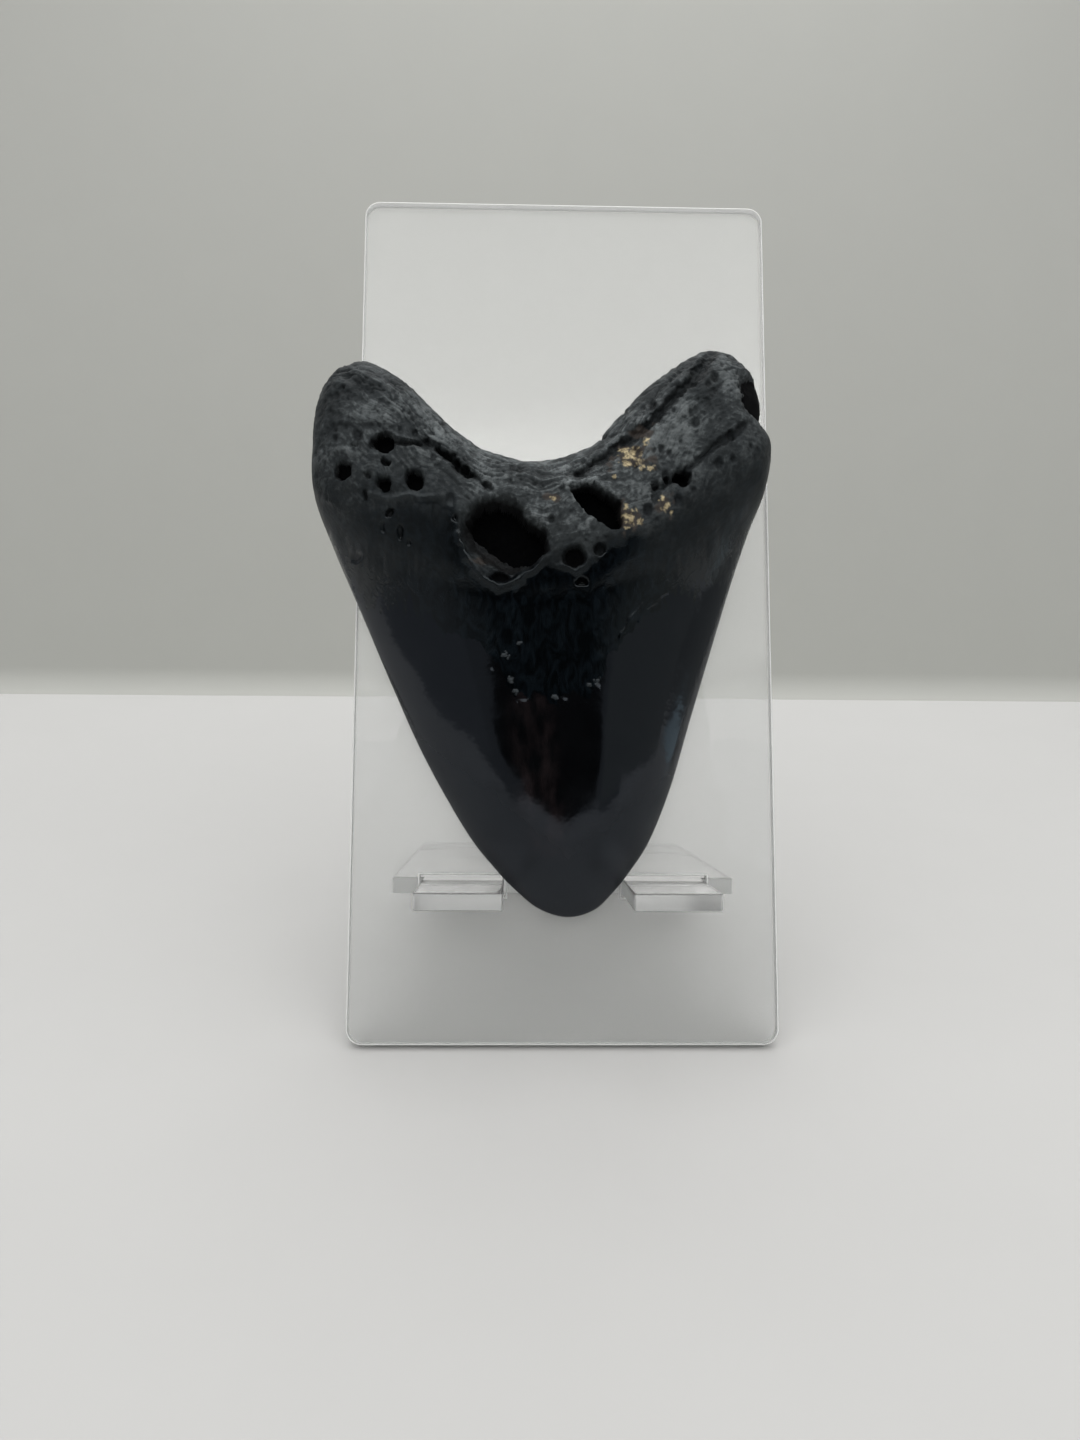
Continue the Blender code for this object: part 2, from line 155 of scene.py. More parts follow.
def clear_acrylic(name, place, is_cut, haze, tint="#e8e9e8"):
    """Cast acrylic: a clear, slightly wavy mirror of the room. The faces carry hairline
    wiping scratches; a cut edge is frosted, with upright ripples left by the laser, so it
    catches the light. Hairlines are drawn 0.15 mm wide, wider than real ones, to show."""
    material, tree, output = new_material(name)
    mm = in_mm(tree, place)
    waves = put(tree, "TexNoise", {"Vector": mm, "Scale": 0.06, "Detail": 2.0}).outputs[0]
    along = put(tree, "Mapping", {"Vector": mm, "Rotation": (0, 0, 0.5), "Scale": (3.0, 0.06, 1.0)})
    hairs = put(tree, "TexNoise", {"Vector": along.outputs[0], "Scale": 1.0, "Detail": 3.0}).outputs[0]
    hair = put(tree, "MapRange", {"Value": hairs, "From Min": 0.62, "From Max": 0.8,
                                  "To Min": 0.0, "To Max": 1.0}).outputs[0]
    across = put(tree, "Mapping", {"Vector": mm, "Scale": (4.0, 4.0, 0.05)}).outputs[0]
    ripples = put(tree, "TexNoise", {"Vector": across, "Scale": 1.0, "Detail": 1.0}).outputs[0]
    if is_cut:
        least_rough, most_rough, relief, strength, depth = 0.30, 0.42, ripples, 0.4, 0.04
    else:
        least_rough, most_rough, relief, strength, depth = 0.015, 0.05, waves, 0.25, 0.2
    rough = put(tree, "MapRange", {"Value": hair, "To Min": least_rough, "To Max": most_rough}).outputs[0]
    normal = put(tree, "Bump", {"Height": relief, "Strength": strength, "Distance": depth * MM}).outputs[0]
    shader = put(tree, "BsdfPrincipled", {
        "Base Color": srgb(tint), "Metallic": 0.0, "Roughness": rough, "IOR": 1.49,
        "Transmission Weight": 1 - haze, "Normal": normal})
    body = put(tree, "VolumeAbsorption", {"Color": srgb("#e3ebe9"), "Density": 2.5})
    tree.links.new(shader.outputs[0], output.inputs["Surface"])
    tree.links.new(body.outputs[0], output.inputs["Volume"])
    return material


leaning = Matrix.Translation(Vector(PLATE_FOOT) * MM) @ Matrix.Rotation(radians(90 - PLATE_LEAN), 4, 'X')
half = PLATE_WIDTH / 2
plate_edge = rounded([(-half, 0, PLATE_CORNER), (half, 0, PLATE_CORNER),
                      (half, PLATE_HEIGHT, PLATE_CORNER), (-half, PLATE_HEIGHT, PLATE_CORNER)])
slots = []
for left in (-SLOT_INNER - SLOT_WIDTH, SLOT_INNER):
    right, top = left + SLOT_WIDTH, SLOT_LOW + SLOT_HEIGHT
    slots.append(rounded([(left, SLOT_LOW, 0), (right, SLOT_LOW, 0), (right, top, 0), (left, top, 0)]))
plate = cut_sheet("leaning_plate", [plate_edge, *slots], leaning)
plate.data.materials.append(clear_acrylic("cast_acrylic_plate_face", leaning, False, PLATE_HAZE))
plate.data.materials.append(clear_acrylic("frosted_acrylic_plate_edge", leaning, True, PLATE_EDGE_HAZE))
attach(plate, "root")
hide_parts("back_plate")

# ---------------------------------------------------------------- support board
# The second piece of the same sheet. Its two prongs are pushed through the plate's
# slots and make the ledge, its shoulders stop behind the plate, and its rear end stands
# on the table as the leg. Nothing but the slots holds it.

BOARD_PLACE = (3.603, -26.50, 28.535)        # where its upper face meets the plate's front
BOARD_SLOPE = 19.8
BOARD_HALF, BOARD_REAR, REAR_CORNER = 32.3, 76.1, 4.0
SHOULDER = 3.313                             # how far behind the plate's front they stop
PRONG_FRONT, PRONG_INNER, PRONG_OUTER, PRONG_CORNER = -18.7, 11.2, 26.5, 0.5
BOARD_HAZE, BOARD_EDGE_HAZE = 0.04, 0.08     # less than the plate's, so it hardly shows through it

board_edge = rounded([
    (-BOARD_HALF, BOARD_REAR, REAR_CORNER), (-BOARD_HALF, SHOULDER, PRONG_CORNER),
    (-PRONG_OUTER, SHOULDER, 0), (-PRONG_OUTER, PRONG_FRONT, PRONG_CORNER),
    (-PRONG_INNER, PRONG_FRONT, PRONG_CORNER), (-PRONG_INNER, SHOULDER, 0),
    (PRONG_INNER, SHOULDER, 0), (PRONG_INNER, PRONG_FRONT, PRONG_CORNER),
    (PRONG_OUTER, PRONG_FRONT, PRONG_CORNER), (PRONG_OUTER, SHOULDER, 0),
    (BOARD_HALF, SHOULDER, PRONG_CORNER), (BOARD_HALF, BOARD_REAR, REAR_CORNER)])
sloping = Matrix.Translation(Vector(BOARD_PLACE) * MM) @ Matrix.Rotation(-radians(BOARD_SLOPE), 4, 'X')
board = cut_sheet("pronged_board", [board_edge], sloping)
board.data.materials.append(clear_acrylic(
    "cast_acrylic_board_face", sloping, False, BOARD_HAZE, "#fbfbfb"))
board.data.materials.append(clear_acrylic(
    "frosted_acrylic_board_edge", sloping, True, BOARD_EDGE_HAZE, "#fdfdfd"))
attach(board, "root")
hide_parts("support_board")

# ---------------------------------------------------------------- tooth
# One fossil tooth of a megalodon, mineral-stained black: a pored, wrinkled root above a
# V-shaped line, and below it a blade of worn, glossy enamel. It only rests here, its flat
# labial face against the plate and its blade between the prongs.

TOOTH_TIP = (0.5, 23.5)                      # on the plate: across, up from its foot

# Outline square to the plate, from the tip, anticlockwise
TOOTH_OUTLINE = (
    (0.0, 0.0), (4.8, 1.2), (8.4, 4.4), (11.8, 8.6), (15.4, 14.2), (19.4, 24.0),
    (23.2, 36.5), (27.0, 49.0), (30.6, 61.0), (34.0, 71.5),            # right blade edge
    (36.8, 79.5), (37.4, 86.5), (35.6, 90.8), (35.7, 95.5), (34.2, 99.8),
    (30.6, 103.6), (26.2, 104.9), (21.4, 103.0), (15.8, 99.0),         # right lobe
    (9.4, 92.4), (3.6, 86.4), (-5.0, 83.6), (-13.6, 84.6),             # notch
    (-21.2, 88.8), (-27.8, 95.4), (-33.6, 100.0), (-39.2, 101.8),
    (-44.0, 99.4), (-46.6, 94.0), (-47.48, 86.0), (-47.38, 77.5),      # left lobe
    (-44.2, 68.5), (-38.5, 55.5), (-32.6, 42.0), (-26.5, 29.0),
    (-18.7, 15.6), (-13.4, 8.9), (-9.2, 4.6), (-5.0, 1.4),             # left blade edge
)

# Profiles up the tooth, as (height above the tip, value)
EDGE_OFF_PLATE = ((0, 3.2), (55, 3.4), (70, 5.5), (82, 9.5), (106, 11.0))
FRONT_OFF_PLATE = ((0, 6.0), (10, 9.0), (25, 12.0), (45, 14.6), (62, 16.6), (76, 18.6),
                   (90, 20.2), (106, 19.0))
BACK_OFF_PLATE = ((0, 1.0), (12, 0.5), (80, 0.5), (106, 1.2))
FRONT_ROUNDING = ((0, 8.0), (10, 11.5), (25, 17.0), (45, 22.0), (60, 24.0), (72, 18.0),
                  (84, 10.5), (106, 9.5))
BACK_ROUNDING = ((0, 5.0), (60, 6.0), (84, 9.0), (106, 9.0))
FRONT_POWER = ((0, 0.75), (60, 0.75), (80, 0.5), (106, 0.5))
BACK_POWER = ((0, 0.6), (106, 0.6))

# Root forms. The matt root ends at a ragged line; from there a dark satin band runs down to
# the ragged line where the blade's polish begins
ROOT_LINE = ((-48, 79), (-43.7, 74.4), (-40.8, 72.4), (-36.7, 73.8), (-30.3, 74.8), (-25, 75.2), (-21, 73.6),
             (-19, 65.1), (-16.5, 61.6), (-12.6, 59.0), (-9.1, 60.4), (-4.7, 62.6), (1.9, 61.4), (5.1, 63.6),
             (7.1, 66.4), (12.1, 68.3), (16.5, 70.4), (21, 74.2), (28.3, 78.3), (36, 84.4))
POLISH_LINE = ((-48, 66), (-36, 58), (-25, 53), (-17.9, 49.4), (-14.3, 46.7), (-11.6, 42.3), (-9.8, 39.6),
               (-1.8, 39.2), (3.5, 40.0), (7.4, 47.3), (12.5, 52.8), (15.3, 55.3), (22, 59), (37, 68))
BACK_ROOT_LINE = ((-48, 80), (-30, 72), (-5, 68), (20, 73), (37, 82))
BACK_POLISH_LINE = ((-48, 74), (-30, 66), (-5, 60), (20, 67), (37, 76))
NOTCH_EDGE = TOOTH_OUTLINE[16:27]
BOSS = (-4.0, 74.0, 17.0, 9.0, 2.6)          # across, height, half-widths, how far proud
SHOULDER_LINE = ((-48, 74), (-31, 64.5), (-18, 59.5), (-8, 57.5), (4, 58.5), (19, 66), (37, 79))
SHOULDER_STEP, SHOULDER_WIDTH = 0.45, 5.0

# Grooves and ridges: points along each, half-width, depth (a ridge's is negative)
CREASES = (
    (((-42, 98), (-36.5, 92.8), (-30.5, 88.2), (-25, 83.4)), 1.1, 0.8),
    (((-26.0, 84.6), (-23.6, 82.9), (-21.2, 80.8), (-19.0, 79.0), (-16.2, 76.9), (-14.2, 75.6)), 0.42, 0.9),
    (((-23.6, 82.9), (-21.6, 81.1), (-18.2, 78.2)), 0.6, 2.4),
    (((26, 103), (24.7, 101), (21.1, 96.1), (15.6, 89.4), (12, 86.4), (9.1, 84.2), (5, 81.2),
      (1.2, 78.5)), 0.85, 1.9),
    (((31, 88), (29.3, 86.1), (25.8, 84.0), (22.7, 81), (19.6, 78.6), (14.4, 75.3)), 0.6, 0.9),
    (((-37, 95), (-31, 91.2), (-25, 86)), 0.5, 0.4),
    (((22.5, 101.5), (16, 95), (10, 88.6), (3, 83)), 0.5, 0.5),
    (((28, 98), (24, 92), (17, 86)), 0.6, 0.35),
    (((-45.5, 84), (-43, 86.5), (-38.5, 86.2), (-34.5, 86.8), (-30, 85.6), (-26, 83.4)), 0.8, 0.5),
    (((-45.5, 91), (-41.5, 93.2), (-37.5, 91.6), (-34, 88.6)), 0.7, 0.35),
    (((-44.5, 81.0), (-42.6, 82.6), (-39.6, 82.4)), 0.5, -0.4),
    (((-35.8, 74.6), (-32.6, 73.8), (-28.5, 74.4), (-24.5, 74.0)), 0.6, -0.35),
    (((-24, 79.6), (-20.4, 76.6), (-18.6, 74.0)), 0.5, 0.4),
    (((-20, 67.5), (-18.6, 63.4), (-15.8, 60.3), (-12.7, 58.4), (-8.3, 60.6), (-4.4, 63.6)), 0.55, -0.6),
    (((-1.8, 62.4), (0.6, 61.4), (3.6, 63.4)), 0.45, -0.4),
    (((-0.8, 76.9), (4, 77.3), (8.2, 74.8)), 0.6, -0.45),
    (((8.9, 50.0), (10.6, 53.2), (13.4, 56)), 0.3, -0.12),
    (((12.5, 53.0), (14.5, 56.2), (17.5, 58.8)), 0.3, -0.12),
)

# Hollows with ragged walls: outline, width of the wall, depth, how black the floor is painted as
# shade. In order: the great foramen's ledge, its hole, the scoop under it, the almond-shaped foramen
HOLLOWS = (
    (((-17.4, 72.5), (-15, 73.9), (-11.8, 74), (-9.2, 72.6), (-7.4, 70.3), (-4.8, 68.7), (-4.0, 66.5),
      (-4.7, 64.5), (-6.5, 62.8), (-8.6, 61.6), (-12, 61.0), (-14.6, 62.2), (-17.2, 64.2), (-19.0, 66.6),
      (-19.1, 69.9)), 3.0, 4.2, 0.0),
    (((-17.2, 72.0), (-15, 73.7), (-12.2, 73.6), (-9.4, 72.2), (-7.7, 70.0), (-5.2, 68.6), (-4.2, 66.8),
      (-4.4, 65.0), (-6.4, 63.2), (-9.0, 62.6), (-12.2, 63.9), (-15.2, 66.0), (-17.6, 67.9), (-18.5, 70.0)),
     0.9, 9.0, 1.0),
    (((-18.0, 64.4), (-14.8, 62.6), (-10.4, 61.6), (-5.4, 63.4), (-8.6, 61.2), (-12.6, 59.2), (-16.4, 61.8)),
     1.2, 0.9, 0.0),
    (((-0.4, 76.0), (3.1, 76.4), (5.8, 75.1), (7.9, 73.4), (9.0, 70.6), (8.8, 68.9), (7.0, 68.9), (4.4, 70.3),
      (1.7, 72.5)), 0.9, 6.5, 1.0),
)
HOLLOW_STEP, HOLLOW_REACH = 0.5, 14.0        # along an outline, and the farthest from its middle
HOLLOW_RAGGED, CREASE_WANDER = 0.42, 0.5     # how far noise moves their edges
# Painted shade: from this share of its depth, a hollow's floor is painted black
DARK_FROM, DARK_OVER = 0.6, 0.2              # share of the depth at which a floor turns black

# Small holes: across, height, half-width, half-height, depth
HOLES = (
    (-33.3, 83.8, 2.1, 1.7, 3.6), (-29.3, 83.7, 2.8, 0.7, 1.8), (-40.6, 79.1, 1.5, 1.6, 3.0),
    (-33.2, 76.6, 1.4, 1.2, 2.6), (-27.9, 77.0, 1.8, 1.7, 3.2), (-33.0, 80.2, 0.9, 0.8, 1.8),
    (-36.7, 74.7, 0.6, 1.0, 1.2), (-32.4, 71.7, 0.8, 0.8, 1.4), (-39.1, 65.6, 1.2, 0.9, 1.2),
    (-38.3, 82.9, 0.6, 0.5, 0.8), (19.4, 78.1, 1.8, 1.6, 3.2), (14.8, 76.5, 1.0, 0.8, 1.8),
    (16.6, 77.3, 0.8, 0.6, 1.2), (0.6, 64.0, 2.1, 1.9, 2.6), (5.0, 65.2, 1.0, 0.9, 1.0),
    (1.9, 59.6, 1.2, 0.8, 1.7), (-12.6, 60.5, 1.9, 0.9, 2.2), (-30.5, 68.5, 0.6, 1.3, 0.9),
    (-29.0, 66.5, 0.5, 0.6, 0.6), (-33.4, 69.5, 0.45, 1.0, 0.7), (-36.0, 77.8, 0.7, 0.6, 1.0),
    (-44.0, 76.0, 0.5, 0.5, 0.6), (-20.5, 70.5, 0.5, 0.5, 0.6), (-15.0, 76.6, 0.9, 0.5, 1.0),
)
HOLE_FLOOR, HOLE_WALL = 0.6, 0.52            # shares of its radius
# Painted shade: from this depth, a hole's floor is painted black
HOLE_DARK_FROM, HOLE_DARK_OVER = 1.7, 0.4    # how deep a hole is before it turns black

# Black break in the side of the right lobe: height, off the plate, half-height, half-depth,
# how deep, and how square its outline is
BREAK = (94.1, 13.2, 4.5, 5.9, 1.6, 2.6)
RIGHT_LOBE_FROM = 25.0

CURVE_STEPS = 24                             # between two points of an outline
RIM_SPACING, RIM_FINENESS = 0.36, 8
RIM_RINGS = (0.05, 0.16, 0.32, 0.55, 0.85, 1.2, 1.6, 2.1)
ROOT_SPACING, CROWN_SPACING = 0.27, 0.6
BACK_ROOT_SPACING, BACK_CROWN_SPACING = 0.5, 0.8
LATTICE_ACROSS, LATTICE_HEIGHT = (-48, 38), (0, 106)
SAME_VERTEX = 1e-7                           # metres
ROOT_MARGIN = 4.0                            # the finer lattice starts this far below its line
INSET_KEPT = 0.93                            # a ring point nearer the rim than this is dropped


def profile(height, stations):
    """Smooth curve through (height, value) stations."""
    at, value = np.array(stations, float).T
    slope = np.gradient(value, at)
    height = np.clip(height, at[0], at[-1])
    i = np.clip(np.searchsorted(at, height) - 1, 0, len(at) - 2)
    span = at[i + 1] - at[i]
    t = (height - at[i]) / span
    return ((1 + 2 * t) * (1 - t) ** 2 * value[i] + t * (1 - t) ** 2 * span * slope[i]
            + t * t * (3 - 2 * t) * value[i + 1] - t * t * (1 - t) * span * slope[i + 1])


def smooth_step(t):
    t = np.clip(t, 0.0, 1.0)
    return t * t * (3 - 2 * t)


def closed_curve(points, spacing):
    """Evenly spaced points on a smooth closed curve through the given ones."""
    p = np.array(points, float)
    before, after, beyond = np.roll(p, 1, 0), np.roll(p, -1, 0), np.roll(p, -2, 0)
    t = np.linspace(0, 1, CURVE_STEPS, endpoint=False)[None, :, None]
    a, b, c, d = (q[:, None, :] for q in (before, p, after, beyond))
    fine = 0.5 * (2 * b + (c - a) * t + (2 * a - 5 * b + 4 * c - d) * t ** 2
                  + (3 * b - a - 3 * c + d) * t ** 3)
    fine = fine.reshape(-1, 2)
    loop = np.vstack([fine, fine[:1]])
    length = np.concatenate([[0], np.cumsum(np.linalg.norm(np.diff(loop, axis=0), axis=1))])
    stops = np.linspace(0, length[-1], round(length[-1] / spacing), endpoint=False)
    return np.stack([np.interp(stops, length, loop[:, k]) for k in (0, 1)], 1)


def nearest_on(path, xy):
    """Distance from each point to a path, and how far along the path its nearest place is."""
    path = np.array(path, float)
    best, along = np.full(len(xy), np.inf), np.zeros(len(xy))
    passed = 0.0
    for start, step in zip(path[:-1], np.diff(path, axis=0)):
        t = np.clip(((xy - start) @ step) / (step @ step), 0, 1)
        far = np.hypot(*(xy - start - t[:, None] * step).T)
        along = np.where(far < best, passed + t * np.hypot(*step), along)
        best = np.minimum(best, far)
        passed += np.hypot(*step)
    return best, along


def is_inside(xy, ring):
    """Even-odd test against a closed ring of points."""
    inside = np.zeros(len(xy), bool)
    x, y = xy.T
    for (x0, y0), (x1, y1) in zip(ring, np.roll(ring, -1, 0)):
        if y0 != y1:
            inside ^= ((y0 > y) != (y1 > y)) & (x < (x1 - x0) * (y - y0) / (y1 - y0) + x0)
    return inside


def roughly(points, size, octaves=3, seed=0.0):
    """Fractal noise, about -1 to 1, with features of the given size along each axis."""
    scaled = np.zeros((len(points), 3))
    scaled[:, :points.shape[1]] = points / np.array(size)
    scaled += seed * 11.3
    return np.array([noise.fractal(Vector(p), 1.0, 2.0, octaves) for p in scaled])


def wandering(points, size, octaves, seeds):
    """Two fractal noises side by side, to move points across and up by."""
    return np.stack([roughly(points, size, octaves, seed) for seed in seeds], 1)


rim_ring = closed_curve(TOOTH_OUTLINE, RIM_SPACING)
rim_count = RIM_FINENESS * len(rim_ring)
rim_tree = kdtree.KDTree(rim_count)
for i, (x, y) in enumerate(closed_curve(TOOTH_OUTLINE, RIM_SPACING / RIM_FINENESS)[:rim_count]):
    rim_tree.insert((x, y, 0.0), i)
rim_tree.balance()


def from_rim(xy):
    """Distance from each point to the tooth's outline."""
    return np.array([rim_tree.find((x, y, 0.0))[2] for x, y in xy])


def hollows(xy):
    """How deep the face is sunk into foramina and holes, and how black their floors are painted as shade."""
    ragged = xy + HOLLOW_RAGGED * wandering(xy, (2.0, 2.0), 4, (3.0, 9.0))
    sunk, dark = np.zeros(len(xy)), np.zeros(len(xy))
    for outline, wall, depth, shade_blackness in HOLLOWS:
        ring = closed_curve(outline, HOLLOW_STEP)
        near = np.hypot(*(ragged - ring.mean(0)).T) < HOLLOW_REACH
        edge, _ = nearest_on(np.vstack([ring, ring[:1]]), ragged[near])
        share = smooth_step(np.where(is_inside(ragged[near], ring), edge, -edge) / wall + 0.3)
        sunk[near] = np.maximum(sunk[near], depth * share)
        dark[near] = np.maximum(dark[near], shade_blackness * smooth_step((share - DARK_FROM) / DARK_OVER))
    for x, y, half_width, half_height, depth in HOLES:
        r = np.hypot((ragged[:, 0] - x) / half_width, (ragged[:, 1] - y) / half_height)
        here = depth * (1 - smooth_step((r - HOLE_FLOOR) / HOLE_WALL))
        sunk = np.maximum(sunk, here)
        # painted shade: the deeper part of a hole is painted black
        dark = np.maximum(dark, smooth_step((here - HOLE_DARK_FROM) / HOLE_DARK_OVER))
    return sunk, dark


def height_above(xy, line):
    """How far up the tooth each point is from a line that runs across it."""
    return xy[:, 1] - np.interp(xy[:, 0], *np.array(line, float).T)


def crease_depth(xy):
    """Depth of the grooves, less the height of the ridges, wandering a little."""
    moved = xy + CREASE_WANDER * wandering(xy, (3.0, 3.0), 3, (7.0, 8.0))
    return sum(depth * np.exp(-(nearest_on(path, moved)[0] / half_width) ** 2)
               for path, half_width, depth in CREASES)


def front_forms(xy):
    """Height off the plate of the face towards the viewer, without its fine texture."""
    y = xy[:, 1]
    bx, by, bw, bh, proud = BOSS
    on_shoulder = smooth_step(height_above(xy, SHOULDER_LINE) / SHOULDER_WIDTH + 0.5)
    full = profile(y, FRONT_OFF_PLATE) + SHOULDER_STEP * on_shoulder
    full += proud * np.exp(-((xy[:, 0] - bx) / bw) ** 2 - ((y - by) / bh) ** 2)
    full -= crease_depth(xy) + hollows(xy)[0]
    edge = profile(y, EDGE_OFF_PLATE)
    t = np.clip(from_rim(xy) / profile(y, FRONT_ROUNDING), 0, 1)
    return edge + (full - edge) * (1 - (1 - t) ** 2) ** profile(y, FRONT_POWER)


def back_forms(xy):
    """Height off the plate of the face that lies on it."""
    y = xy[:, 1]
    edge = profile(y, EDGE_OFF_PLATE)
    t = np.clip(from_rim(xy) / profile(y, BACK_ROUNDING), 0, 1)
    return edge + (profile(y, BACK_OFF_PLATE) - edge) * (1 - (1 - t) ** 2) ** profile(y, BACK_POWER)


def face_points(root_spacing, crown_spacing, line):
    """Points over one face: rings that follow the outline, then a finer and a coarser lattice."""
    normal = np.roll(rim_ring, 1, 0) - np.roll(rim_ring, -1, 0)
    normal = np.stack([normal[:, 1], -normal[:, 0]], 1)
    normal /= np.linalg.norm(normal, axis=1)[:, None]
    rows = [rim_ring]
    for inset in RIM_RINGS:
        row = rim_ring + normal * inset
        rows.append(row[from_rim(row) > INSET_KEPT * inset])
    for spacing, on_root in ((root_spacing, True), (crown_spacing, False)):
        lift = spacing * sin(radians(60))
        heights, across = np.arange(*LATTICE_HEIGHT, lift), np.arange(*LATTICE_ACROSS, spacing)
        lattice = np.array([(x + (k % 2) * spacing / 2, y) for k, y in enumerate(heights) for x in across])
        lattice = lattice[(height_above(lattice, line) > -ROOT_MARGIN) == on_root]
        lattice = lattice[is_inside(lattice, rim_ring)]
        rows.append(lattice[from_rim(lattice) > RIM_RINGS[-1] + spacing / 2])
    return np.vstack(rows)


def add_face(build, xy, heights):
    """Triangulate one face of the tooth inside its outline and lift it to its heights."""
    flat, _, triangles, source, _, _ = geometry.delaunay_2d_cdt(
        [Vector(p) for p in xy], [], [list(range(len(rim_ring)))], KEEP_INSIDE, SAME_POINT)
    verts = [build.verts.new((p.x * MM, p.y * MM, heights[s[0]] * MM)) for p, s in zip(flat, source)]
    for triangle in triangles:
        build.faces.new([verts[i] for i in triangle])


front = face_points(ROOT_SPACING, CROWN_SPACING, POLISH_LINE)
back = face_points(BACK_ROOT_SPACING, BACK_CROWN_SPACING, BACK_ROOT_LINE)
build = bmesh.new()
add_face(build, front, front_forms(front))
add_face(build, back, back_forms(back))
bmesh.ops.remove_doubles(build, verts=build.verts, dist=SAME_VERTEX)
bmesh.ops.recalc_face_normals(build, faces=build.faces)
tooth_mesh = bpy.data.meshes.new("megalodon_tooth")
build.to_mesh(tooth_mesh)
build.free()
tooth_mesh.shade_smooth()

# Fine texture, pushed in or out along the surface. On the root: lumps, grains, pores, and
# fibres and wrinkles that run with its upper edge. On the satin band: short upright streaks.
# How far each stands out, then the size of its features (fibres: along and across)
LUMP, WRINKLE, FIBRE, GRAIN, GRIT, STREAK = 0.38, 0.32, 0.13, 0.15, 0.06, 0.035
LUMP_SIZE, GRAIN_SIZE, GRIT_SIZE = (6.0, 6.0, 6.0), (1.5, 1.5, 1.5), (0.6, 0.6, 0.6)
WRINKLE_SIZE, FIBRE_SIZE, STREAK_SIZE = (9.0, 1.9), (4.0, 0.6), (0.6, 3.4)
WRINKLE_WIDTH = 0.14
PORE_COUNT, PORE_LEAST, PORE_MORE, PORE_REACH = 650, 0.16, 0.5, 1.2
PORES_ACROSS, PORE_HEIGHTS = (-47, 37), (58, 105)

count = len(tooth_mesh.vertices)
place, outward = np.empty(count * 3), np.empty(count * 3)
tooth_mesh.vertices.foreach_get("co", place)
tooth_mesh.vertex_normals.foreach_get("vector", outward)
place, outward = place.reshape(-1, 3), outward.reshape(-1, 3)
solid = place / MM
xy = solid[:, :2]
on_back = outward[:, 2] < -0.2
# dark is painted shade: black on the floors of hollows, holes and the break
sunk, dark = hollows(xy)
sunk, dark = np.where(on_back, 0, sunk), np.where(on_back, 0, dark)
crease = np.where(on_back, 0, crease_depth(xy))

# The break goes in from the side, only where the surface faces front, so the outline stays
by, bz, half_height, half_depth, deepest, squareness = BREAK
apart = ((np.abs(solid[:, 1] - by) / half_height) ** squareness
         + (np.abs(solid[:, 2] - bz) / half_depth) ** squareness) ** (1 / squareness)
broken = smooth_step((1.2 - apart + 0.1 * roughly(solid, (2.0, 2.0, 2.0), 4, 3.0)) / 0.3)
broken = broken * (xy[:, 0] > RIGHT_LOBE_FROM)
sunk = np.maximum(sunk, deepest * broken)
# The break's floor is painted black as shade, like the hollows
dark = np.maximum(dark, smooth_step((broken - DARK_FROM) / DARK_OVER))

# How far up from the ragged end of the root and of the polish. The satin band ends sharply
# over the middle of the blade; beside it, it fades out over a few times as much and keeps
# some gloss. Root and satin are 0 to 1; so is pale, which is where the root's colour starts
ROOT_RAGGED, POLISH_RAGGED, SIDE_RAGGED = 1.6, 1.8, 4.0
BAND_MIDDLE, BAND_HALF, BAND_FADE = -4.0, 10.0, 14.0
EDGE_GLOSS, EDGE_GLOSS_FADE = 0.36, 10.0
beside = smooth_step((np.abs(xy[:, 0] - BAND_MIDDLE) - BAND_HALF) / BAND_FADE)
over_root = np.where(on_back, height_above(xy, BACK_ROOT_LINE), height_above(xy, ROOT_LINE))
over_root = over_root + ROOT_RAGGED * roughly(xy, (4.0, 4.0), 4, 5.0)
over_polish = np.where(on_back, height_above(xy, BACK_POLISH_LINE), height_above(xy, POLISH_LINE))
over_polish = over_polish + POLISH_RAGGED * roughly(xy, (1.8, 3.2), 4, 12.0)
over_polish = over_polish + SIDE_RAGGED * beside * roughly(xy, (0.8, 5.0), 4, 13.0)
root = smooth_step(over_root / 3 + 0.5)
pale = smooth_step((over_root + 6 * beside) / (6 + 12 * beside)) * (1 - 0.3 * beside)
satin = smooth_step(over_polish / (3 + 6 * beside)) * (0.15 + 0.85 * beside)
gloss = EDGE_GLOSS * beside * (1 - smooth_step((over_polish - 1) / EDGE_GLOSS_FADE)) * (1 - root)

# Fibres run along the root's upper edge and over it; they and the wrinkles are strongest there
OVER_EDGE, FLOW_WANDER = 0.7, 1.6
NOTCH_REACH, NOTCH_FADE = 13.0, 8.0
off_notch, along_notch = nearest_on(NOTCH_EDGE, xy)
flow = np.stack([along_notch, off_notch + OVER_EDGE * solid[:, 2]], 1)
flow = flow + FLOW_WANDER * wandering(solid, (7.0, 7.0, 7.0), 3, (15.0, 16.0))
near_notch = 0.3 + 0.7 * smooth_step((NOTCH_REACH - off_notch) / NOTCH_FADE)
lively = 0.3 + 0.7 * smooth_step((over_root - 1) / 9)
wrinkle = np.minimum(0, np.abs(roughly(flow, WRINKLE_SIZE, 3, 2.0)) - WRINKLE_WIDTH) / WRINKLE_WIDTH
fibre = roughly(flow, FIBRE_SIZE, 4, 21.0)
lump = roughly(solid, LUMP_SIZE, 3, 4.0)
grain = 0.6 - np.abs(roughly(solid, GRAIN_SIZE, 3, 6.0)) * 2
grit = roughly(solid, GRIT_SIZE, 2, 11.0)
fine = lively * (near_notch * (WRINKLE * wrinkle + FIBRE * fibre) + GRAIN * grain) + GRIT * grit

